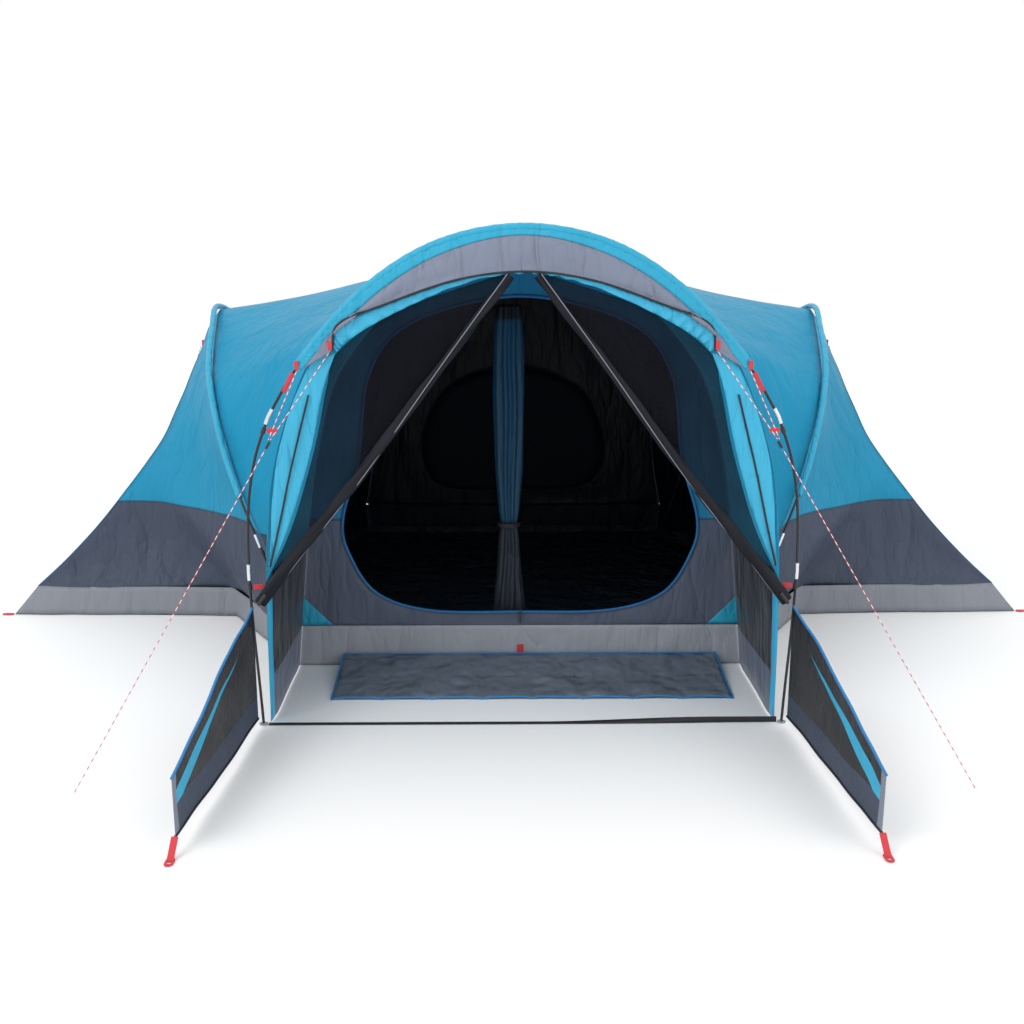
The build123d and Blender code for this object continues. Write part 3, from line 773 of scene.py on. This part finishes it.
# --- pole sleeves -------------------------------------------------------------------------
def make_sleeve(name, node, line, radius):
    def gathered(t, angle):
        pleat = 0.0012 * math.sin(t * 260 + 2 * math.sin(t * 37))
        return radius + pleat * (0.6 + 0.4 * math.sin(angle))

    sleeve = tube_object(name, line, gathered, 14)
    finish_piece(sleeve, sleeve_cloth, [node])
    return sleeve


def cut_line(line, low, high):
    """The part of a line between two shares of its length."""
    count = len(line) - 1
    return line[round(low * count):round(high * count) + 1]


front_line = smooth_line(whole(ARCH, FRONT), 320)
rear_line = smooth_line(whole(REAR_ARCH, REAR + 0.04), 320)
make_sleeve("front_sleeve", "front_pole_sleeve", cut_line(front_line, *SLEEVE_ENDS), 0.0155)
make_sleeve("rear_sleeve", "rear_pole_sleeve", cut_line(rear_line, *SLEEVE_ENDS), 0.0150)
for side_name, side in SIDES.items():
    wing_line = smooth_line(mirrored_ends(place(WING_POLE, side)), 320)
    make_sleeve(f"wing_sleeve_{side_name}", f"wing_pole_sleeve_{side_name}",
                cut_line(wing_line, *WING_SLEEVE_ENDS), 0.0145)


# Red straps that carry on from the front sleeve's ends along the pole.
for side_name, side in SIDES.items():
    high = Vector((side * 0.868, FRONT - 0.013, 1.412))
    low = Vector((side * 0.905, FRONT - 0.013, 1.338))
    across = Vector((0.0075, 0, 0.0035 * side))
    run = [high.lerp(low, k / 12) for k in range(13)]
    strap = cloth_object(f"sleeve_strap_{side_name}",
                         [[p - across, p, p + across] for p in run], 0.0018)
    finish_piece(strap, red_web, [])


# --- visor and the ruffled band below it --------------------------------------------------
FLANGE_TOP = [(0.864, 1.436), (0.790, 1.517), (0.568, 1.735), (0.306, 1.882), (0, 1.936)]
VISOR_TOP = [(0.832, 1.424), (0.752, 1.508), (0.540, 1.708), (0.292, 1.852), (0, 1.914)]
VISOR_LOW = [(0.716, 1.492), (0.690, 1.592), (0.510, 1.666), (0.250, 1.752), (0, 1.782)]
BAND_TOP = [(0.716, 1.500), (0.690, 1.588), (0.510, 1.662), (0.250, 1.748), (0, 1.780)]
BAND_LOW = [(0.700, 1.488), (0.645, 1.540), (0.480, 1.632), (0.235, 1.735), (0, 1.778)]


def make_visor():
    def puffed(u, v, p):
        wrinkle = ripple(p, (16, 4, 16), 21.0) * 0.006 + ripple(p, (5, 2, 5), 4.0) * 0.010
        return math.sin(math.pi * v) * 0.010 + soft_edge(v, 0.2) * wrinkle

    grid = patch([whole(VISOR_TOP, FRONT - 0.014), whole(VISOR_LOW, FRONT - 0.020)], 140, 18)
    grid = pushed(grid, puffed, Vector((0, -1, 0.2)))
    visor = cloth_object("visor_panel", grid)
    finish_piece(visor, visor_cloth, ["visor"])

    def ruffled(u, v, p):
        return v * 0.006 * math.sin(u * 150 + 3 * math.sin(u * 23))

    grid = patch([whole(BAND_TOP, FRONT - 0.008), whole(BAND_LOW, FRONT - 0.004)], 240, 5)
    grid = pushed(grid, ruffled, FORWARD)
    band = cloth_object("visor_ruffle", grid)
    finish_piece(band, band_cloth, ["visor_band"])

    def tucked(u, v, p):
        return 0.0018 * math.sin(u * 330 + 2 * math.sin(u * 41)) * (1 - v)

    grid = patch([whole(FLANGE_TOP, FRONT - 0.013), whole(VISOR_TOP, FRONT - 0.0155)], 260, 4)
    flange = cloth_object("sleeve_flange", pushed(grid, tucked, FORWARD))
    finish_piece(flange, sleeve_cloth, [])

    trim("visor_binding", smooth_line(whole(VISOR_LOW, FRONT - 0.020), 160), 0.004, black_web)


make_visor()


# --- door: surround, net, roll ------------------------------------------------------------
SURROUND_OUT = [(0.788, 1.478), (0.874, 1.300), (0.922, 1.160), (0.950, 1.050),
                (0.972, 0.900), (0.980, 0.790), (0.992, 0.660)]
SURROUND_IN = [(0.708, 1.484), (0.757, 1.352), (0.802, 1.158), (0.847, 1.000),
               (0.896, 0.852), (0.941, 0.744), (0.984, 0.655)]
NET_EDGE = [(0.10, 1.768), (0.470, 1.640), (0.698, 1.490), (0.745, 1.360), (0.790, 1.160),
            (0.835, 1.004), (0.884, 0.855), (0.930, 0.745), (0.985, 0.640), (1.010, 0.590)]
ROLL = [(0.050, 1.768), (0.330, 1.412), (0.620, 1.046), (0.860, 0.738), (1.030, 0.520)]


def make_door(side_name, side):
    def at(outline, y):
        return [Vector((side * x, y, z)) for x, z in outline]

    grid = patch([at(SURROUND_OUT, FRONT), at(SURROUND_IN, FRONT + 0.004)], 70, 10)
    grid = pushed(grid, small_folds(0.3, (20, 2, 5), 40.0, 0.010), FORWARD)
    surround = cloth_object(f"door_border_{side_name}", grid)
    finish_piece(surround, surround_cloth, [f"door_surround_{side_name}"])

    # Zip between the two light strips of the border.
    middle = [a.lerp(b, 0.52) for a, b in zip(at(SURROUND_OUT, FRONT - 0.004),
                                              at(SURROUND_IN, FRONT - 0.004))]
    zip_line = smooth_line(middle[1:], 90)
    tape = cloth_object(f"door_zip_{side_name}",
                        [[p + Vector((-0.0035, 0, 0)), p + Vector((0, -0.002, 0)),
                          p + Vector((0.0035, 0, 0))] for p in zip_line], 0.0016)
    finish_piece(tape, black_web, [])

    roll_path = [Vector((side * x, FRONT - 0.008 - 0.018 * x / 1.046, z)) for x, z in ROLL]
    roll_path[2] += Vector((-side * 0.006, 0, -0.006))
    steps, ties = 150, 9
    roll_line = smooth_line(roll_path, steps)
    spans = len(NET_EDGE) - 1
    edge = [on_curve(at(NET_EDGE, FRONT + 0.010), spans * k / ties) for k in range(ties + 1)]
    inner = [roll_line[round(steps * k / ties)] + Vector((0, 0.012, 0))
             for k in range(ties + 1)]

    grid = pushed(patch([edge, inner], 90, 22), small_folds(0.3, (9, 2, 3), 52.0, 0.012),
                  FORWARD)
    panel = cloth_object(f"door_net_{side_name}", grid, NET)
    finish_piece(panel, door_net, [f"door_mesh_{side_name}"])

    def furled(t, angle):
        swell = 0.015 + 0.009 * t + 0.004 * noise.noise(Vector((t * 9, side * 3, 0)))
        return swell + 0.003 * math.sin(3 * angle + t * 26 + 2 * math.sin(t * 9))

    roll = tube_object(f"door_net_roll_{side_name}", roll_line, furled, 24)
    finish_piece(roll, roll_net, [f"door_roll_{side_name}"])
    # The white piping of the furled zip winds along the roll.
    wound = []
    for k, p in enumerate(roll_line):
        angle = 0.9 + k / steps * 2.4
        wound.append(p + Vector((side * 0.019 * math.cos(angle), -0.019 * math.sin(angle),
                                 0.010 * math.cos(angle))))
    trim(f"door_roll_piping_{side_name}", wound, 0.0018, piping_cloth)


both_sides(make_door)


# --- opened door flaps --------------------------------------------------------------------
FLAP_TOPS = [0.500, 0.452, 0.398, 0.310, 0.250]
FLAP_FEET = [0.040, 0.042, 0.046, 0.050, 0.055]
FLAP_REACH = 0.985
FLAP_SPREAD = 0.050


def flap_material():
    """Net with a light strip that widens forwards, a grey skirt, and a grey panel at the tip.

    The UVs are metres forward of the hinge and metres above the flap's foot.
    """
    m = Nodes("flap_cloth", MESH_BLACK, 0.6)
    m.put("Specular IOR Level", 0.2)
    parts = m.split(m.cloth_place())
    reach, height = parts[0], parts[1]
    # The strip's middle drops and its width grows with the reach.
    middle = m.maths("SUBTRACT", 0.395, m.maths("MULTIPLY", reach, 0.31))
    half = m.maths("MULTIPLY", m.maths("SUBTRACT", reach, 0.20), 0.050)
    off = m.maths("ABSOLUTE", m.maths("SUBTRACT", height, middle))
    strip = m.maths("LESS_THAN", off, half)
    skirt = m.maths("LESS_THAN", height, 0.092)
    tip = m.maths("GREATER_THAN", reach, 0.945)
    grey = m.maths("MAXIMUM", skirt, tip)
    m.colour = m.mix(strip, varied(m, MESH_BLACK, 0.2, 6.0), varied(m, BRIGHT_BLUE, 0.12, 9.0))
    m.colour = m.mix(skirt, m.colour, varied(m, DARK_GREY, 0.1, 5.0))
    m.colour = m.mix(tip, m.colour, varied(m, (0.21, 0.235, 0.29), 0.1, 5.0))
    threads = m.weave(THREAD)
    net_part = m.maths("MULTIPLY_ADD", m.noise(4.0, 3.0), 0.2, 0.70)
    m.join(m.maths("MAXIMUM", net_part, m.maths("MAXIMUM", strip, grey)),
           m.shader.inputs["Alpha"])
    m.bump(threads, 0.15, 0.0004)
    m.bump(m.noise(12.0, 4.0), 0.4, 0.01)
    creases(m, 0.3)
    return m.done()


flap_cloth = flap_material()


def make_flap(side_name, side):
    crest, toe = [], []
    for k, (top, foot) in enumerate(zip(FLAP_TOPS, FLAP_FEET)):
        share = k / 4
        x = side * (1.058 + FLAP_SPREAD * share)
        y = FRONT - 0.034 - FLAP_REACH * share * 0.985
        crest.append(Vector((x, y, top)))
        toe.append(Vector((x, y, foot)))

    def billow(u, v, p):
        hold = soft_edge(u, 0.15)
        return hold * (0.010 * math.sin(math.pi * v) + ripple(p, (4, 5, 9), 60.0) * 0.008)

    along, across = 70, 30
    grid = pushed(patch([crest, toe], along, across), billow, Vector((side, 0, 0)))
    flap = cloth_object(f"door_flap_cloth_{side_name}", grid, 0.001)
    layer = flap.data.uv_layers["cloth"]
    for loop in flap.data.loops:
        row, column = divmod(loop.vertex_index, across + 1)
        height = grid[row][column].z - grid[row][across].z
        layer.data[loop.index].uv = (row / along * FLAP_REACH, height)
    finish_piece(flap, flap_cloth, [f"door_flap_{side_name}"], f"flap_{side_name}")
    for edge_name, column, material in (("crest", 0, binding_blue), ("foot", -1, black_web)):
        trim(f"flap_{edge_name}_binding_{side_name}", [row[column] for row in grid], 0.005,
             material, body=f"flap_{side_name}")


both_sides(make_flap)


# --- inner wall, rear wall, skirts --------------------------------------------------------
def ray_out(loop, centre, direction):
    """Where a ray from the centre leaves a closed outline, in the XZ plane."""
    best = None
    for a, b in zip(loop, loop[1:] + loop[:1]):
        ax, az = a.x - centre.x, a.z - centre.z
        bx, bz = b.x - centre.x, b.z - centre.z
        ex, ez = bx - ax, bz - az
        cross = direction.x * ez - direction.z * ex
        if abs(cross) < 1e-9:
            continue
        t = (ax * ez - az * ex) / cross
        s = (ax * direction.z - az * direction.x) / cross
        if t > 0 and -1e-6 <= s <= 1 + 1e-6 and (best is None or t > best):
            best = t
    return centre + direction * best


def closed_loop(outline, y, count):
    points = whole(outline, y)
    loop = points[1:-1] + [points[0]]
    return [on_curve(loop, len(loop) * k / count, closed=True) for k in range(count)]


def make_wall(name, node, y, opening, material, tuck):
    """Wall with an opening; its rim is tucked past the roof's seam by a few millimetres."""
    steps, foot_steps, across = 260, 60, 10
    hole = closed_loop(opening, y, 160)
    rim = smooth_line(whole([(x + tuck, z) for x, z in WALL_EDGE[:-1]] + [WALL_EDGE[-1]], y),
                      steps)
    rim += [rim[-1].lerp(rim[0], k / foot_steps) for k in range(1, foot_steps)]
    centre = Vector((0, y, 0.9))
    rows = []
    for p in hole:
        out = ray_out(rim, centre, (p - centre).normalized())
        rows.append([p.lerp(out, j / across) for j in range(across + 1)])

    grid = pushed(rows, small_folds(0.25, (6, 2, 3), 70.0, 0.012), FORWARD)
    grid[0], grid[-1] = rows[0], rows[-1]
    wall = cloth_object(name, grid, loop=True)
    finish_piece(wall, material, [node])
    return wall, hole


inner, door_line = make_wall("inner_front_wall", "inner_wall", WALL, DOOR, inner_cloth,
                             0.0)
rear, window_line = make_wall("rear_panel", "rear_wall", REAR, WINDOW, rear_cloth,
                              0.012)

zip_piece = tube_object("inner_zip_piping", [p + Vector((0, -0.006, 0)) for p in door_line],
                        lambda t, a: 0.0065, 8, loop=True)
finish_piece(zip_piece, zip_tape, ["inner_door_zip"])

window_rows = [[p.lerp(Vector((0, REAR, 0.7)), j / 12) for j in range(13)]
               for p in window_line]
window = cloth_object("rear_window_net", window_rows, NET, loop=True)
finish_piece(window, window_net, ["rear_window_mesh"])


def make_wall_skirts():
    for name, y, half in (("front", WALL, 1.032), ("rear", REAR, 1.046)):
        spots = (-half, -0.5, 0, 0.5, half)
        top = [Vector((x, y, THRESHOLD)) for x in spots]
        low = [Vector((x, y - 0.002, 0.0015)) for x in spots]
        grid = pushed(patch([top, low], 100, 10), small_folds(0.2, (9, 2, 6), 81.0, 0.008),
                      FORWARD)
        skirt = cloth_object(f"threshold_skirt_{name}", grid)
        nodes = ["wall_skirts"] if name == "front" else []
        finish_piece(skirt, threshold_cloth, nodes)


make_wall_skirts()


# Web of cloth that ties the rear wall's rim to the rear sleeve.
rim = whole([(0.838, 1.272), (0.7, 1.5), (0.52, 1.67), (0.28, 1.81), (0, 1.862)], REAR)
pole_side = whole([(0.868, 1.270), (0.722, 1.502), (0.532, 1.683), (0.286, 1.826),
                   (0, 1.880)], REAR + 0.036)
web = cloth_object("rear_sleeve_web", patch([rim, pole_side], 150, 4))
finish_piece(web, sleeve_cloth, [])


# Blue corner patches low on the inner wall.
for side_name, side in SIDES.items():
    corner = Vector((side * 1.012, WALL - 0.0045, 0.196))
    upper = Vector((side * 1.0, WALL - 0.0045, 0.335))
    inward = Vector((side * 0.862, WALL - 0.0045, 0.196))
    rows = [[upper.lerp(corner, k / 8).lerp(upper.lerp(inward, k / 8), j / 8)
             for j in range(9)] for k in range(9)]
    patch_piece = cloth_object(f"corner_patch_{side_name}", rows, 0.001)
    finish_piece(patch_piece, sleeve_cloth, [])


# --- divider curtain, tied into a bundle --------------------------------------------------
def make_curtain():
    low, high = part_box("divider_curtain")
    x, y = (low.x + high.x) / 2, (low.y + high.y) / 2
    profile = [(1.640, 0.060), (1.50, 0.070), (1.25, 0.076), (0.90, 0.066), (0.70, 0.050),
               (0.642, 0.040), (0.58, 0.050), (0.42, 0.062), (0.30, 0.078), (0.212, 0.086)]
    rings = []
    steps, sides, folds = 120, 96, 9
    for k in range(steps + 1):
        z = profile[0][0] + (profile[-1][0] - profile[0][0]) * k / steps
        for (z0, r0), (z1, r1) in zip(profile, profile[1:]):
            if z0 >= z >= z1:
                radius = r0 + (r1 - r0) * (z0 - z) / (z0 - z1)
        ring = []
        for s in range(sides):
            angle = 2 * math.pi * s / sides
            wander = 0.5 * noise.noise(Vector((z * 2.2, 5, 0)))
            fold = 0.5 + 0.5 * math.sin(folds * angle + wander * 6)
            fine = noise.noise(Vector((math.cos(angle) * 4, math.sin(angle) * 4, z * 1.5)))
            reach = radius * (0.72 + 0.22 * fold + 0.08 * fine)
            ring.append(Vector((x + reach * math.cos(angle), y + reach * math.sin(angle), z)))
        rings.append(ring + [ring[0]])
    curtain = cloth_object("divider_curtain_cloth", rings, 0.0008)
    finish_piece(curtain, curtain_cloth, ["divider_curtain"])


make_curtain()


# --- floor and mat ------------------------------------------------------------------------
def make_floor():
    half = [(1.030, WALL + 0.004), (1.190, FRONT + 0.98), (1.485, FRONT + 1.452),
            (2.640, FRONT + 1.494)]
    edge = half + [(x, 2 * MIDDLE - y) for x, y in reversed(half)]
    edge += [(-x, y) for x, y in reversed(edge)]
    rows = []
    for a, b in zip(edge, edge[1:] + edge[:1]):
        for k in range(14):
            p = Vector((*a, 0)).lerp(Vector((*b, 0)), k / 14)
            rim = p.lerp(Vector((0, MIDDLE, 0)), 0.06)
            inner_row = [Vector((rim.x, rim.y, 0.055))]
            for j in range(19):
                q = p.lerp(Vector((0, MIDDLE, 0)), j / 18)
                lift = noise.noise(Vector((q.x * 3, q.y * 3, 1))) * 0.5 + 0.5
                inner_row.append(Vector((q.x, q.y, 0.0012 + lift * 0.004 * min(j, 3) / 3)))
            rows.append(inner_row)
    sheet = cloth_object("ground_sheet", rows, 0.001, loop=True)
    finish_piece(sheet, floor_cloth, ["groundsheet"])


def make_mat():
    low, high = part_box("porch_mat")
    columns, across = 96, 30
    folds_along, folds_across = 8, 2
    back_y, front_y, rise = high.y - 0.002, low.y + 0.003, high.z - 0.002

    def at(u, v):
        """v is 0 at the threshold and 1 at the front edge."""
        fold_x = abs((u * folds_along) % 1 - 0.5) * 2
        fold_y = abs((v * folds_across) % 1 - 0.5) * 2
        crease = 0.0085 * (1 - fold_x ** 5) + 0.005 * (1 - fold_y ** 7)
        cell = Vector((int(u * folds_along) * 1.7, int(v * folds_across) * 2.3, 0.5))
        tilt = noise.noise(cell) * (fold_x - 0.5) * 0.008
        wander = noise.noise(Vector((u * 7, v * 3, 2))) * 0.006 + tilt
        z = rise * (1 - v) ** 1.6 + 0.0016 + (crease + max(wander, 0)) * min(1, 4 * v)
        y = back_y + (front_y - back_y) * v
        return Vector((low.x + (high.x - low.x) * u, y, z))

    grid = [[at(i / columns, j / across) for j in range(across + 1)]
            for i in range(columns + 1)]
    mat = cloth_object("porch_mat_sheet", grid, 0.0012)
    finish_piece(mat, mat_cloth, ["porch_mat"], "mat")
    edge = [row[0] for row in grid] + grid[-1][1:]
    edge += [row[-1] for row in reversed(grid[:-1])] + grid[0][-2:0:-1]
    trim("porch_mat_binding", edge, 0.0042, binding_blue, "mat", loop=True)


make_floor()
make_mat()


# --- black strap between the front feet ---------------------------------------------------
def make_strap():
    """Strap that lies flat on the left and turns on edge towards the right foot."""
    rows = []
    length, half_width, steps = 2.048, 0.0115, 120
    for k in range(steps + 1):
        t = k / steps
        x = length * (t - 0.5)
        turn = math.radians(86) * min(1, max(0, (t - 0.55) / 0.35)) ** 1.5
        lift = 0.0016 + half_width * math.sin(turn)
        half = Vector((0, math.cos(turn), math.sin(turn))) * half_width
        centre = Vector((x, FRONT, lift + 0.0006))
        rows.append([centre - half, centre, centre + half])
    strap = cloth_object("foot_strap", rows, 0.0014)
    finish_piece(strap, black_web, ["ground_strap"])


make_strap()

# --- CAD pieces that keep their shape -----------------------------------------------------
for material, nodes in (
        (pole_gloss, ["front_arch_pole", "rear_arch_pole", "wing_pole_left",
                      "wing_pole_right"]),
        (ferrule_metal, ["pole_ferrules"]),
        (pin_steel, ["pole_tips", "pole_foot_rings"]),
        (black_plastic, ["pole_clips", "roll_toggles", "guy_tensioner_left",
                         "guy_tensioner_right", "zip_slider"]),
        (red_web, ["red_webbing_tabs", "corner_peg_loops", "flap_peg_loop_left",
                   "flap_peg_loop_right", "guy_tabs"]),
        (black_web, ["curtain_tie"]),
        (elastic, ["shock_cords"])):
    for node in nodes:
        dress(node, material)


# --- stage: floor, light -------------------------------------------------------------------------
def paper():
    """White studio paper that fades into the backdrop far from the tent."""
    m = Nodes("studio_paper", (0.90, 0.90, 0.90), 0.9)
    far = m.add("ShaderNodeVectorMath", operation="LENGTH")
    m.join(m.place(), far.inputs[0])
    share = m.add("ShaderNodeMapRange")
    share.inputs["From Min"].default_value = 3.0
    share.inputs["From Max"].default_value = 7.0
    m.join(far.outputs["Value"], share.inputs["Value"])
    m.put("Emission Color", (1, 1, 1, 1))
    m.join(share.outputs[0], m.shader.inputs["Emission Strength"])
    dim = m.maths("MULTIPLY_ADD", share.outputs[0], -0.9, 0.9)
    m.colour = m.mix(dim, (0.0, 0.0, 0.0), (1.0, 1.0, 1.0))
    return m.done()


def make_stage():
    size = 40.0
    points = [(-size, -size, 0), (size, -size, 0), (size, size, 0), (-size, size, 0)]
    ground = mesh_object("studio_floor", [Vector(p) for p in points], [(0, 1, 2, 3)],
                         smooth=False)
    ground.data.materials.append(paper())
    ground.location.z = -0.001
    ground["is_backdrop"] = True
    world = bpy.data.worlds.new("studio")
    world.use_nodes = True
    backdrop = world.node_tree.nodes["Background"]
    backdrop.inputs["Color"].default_value = (1, 1, 1, 1)
    backdrop.inputs["Strength"].default_value = 1.0
    bpy.context.scene.world = world
    for name, spot, aim, power, side in (("key", (-4.5, -5.5, 6.0), (0, 0, 0.8), 210, 4.0),
                                         ("fill", (5.5, -4.5, 4.0), (0, 0, 0.8), 70, 4.0),
                                         ("top", (0, 1.5, 7.0), (0, 0.5, 0.5), 60, 5.0)):
        light = linked(name, bpy.data.lights.new(name, "AREA"))
        light.data.energy = power
        light.data.size = side
        light.location = spot
        light.rotation_euler = (Vector(aim) - Vector(spot)).to_track_quat("-Z", "Y").to_euler()
    bpy.context.scene.view_settings.view_transform = "Standard"


make_stage()

low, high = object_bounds()
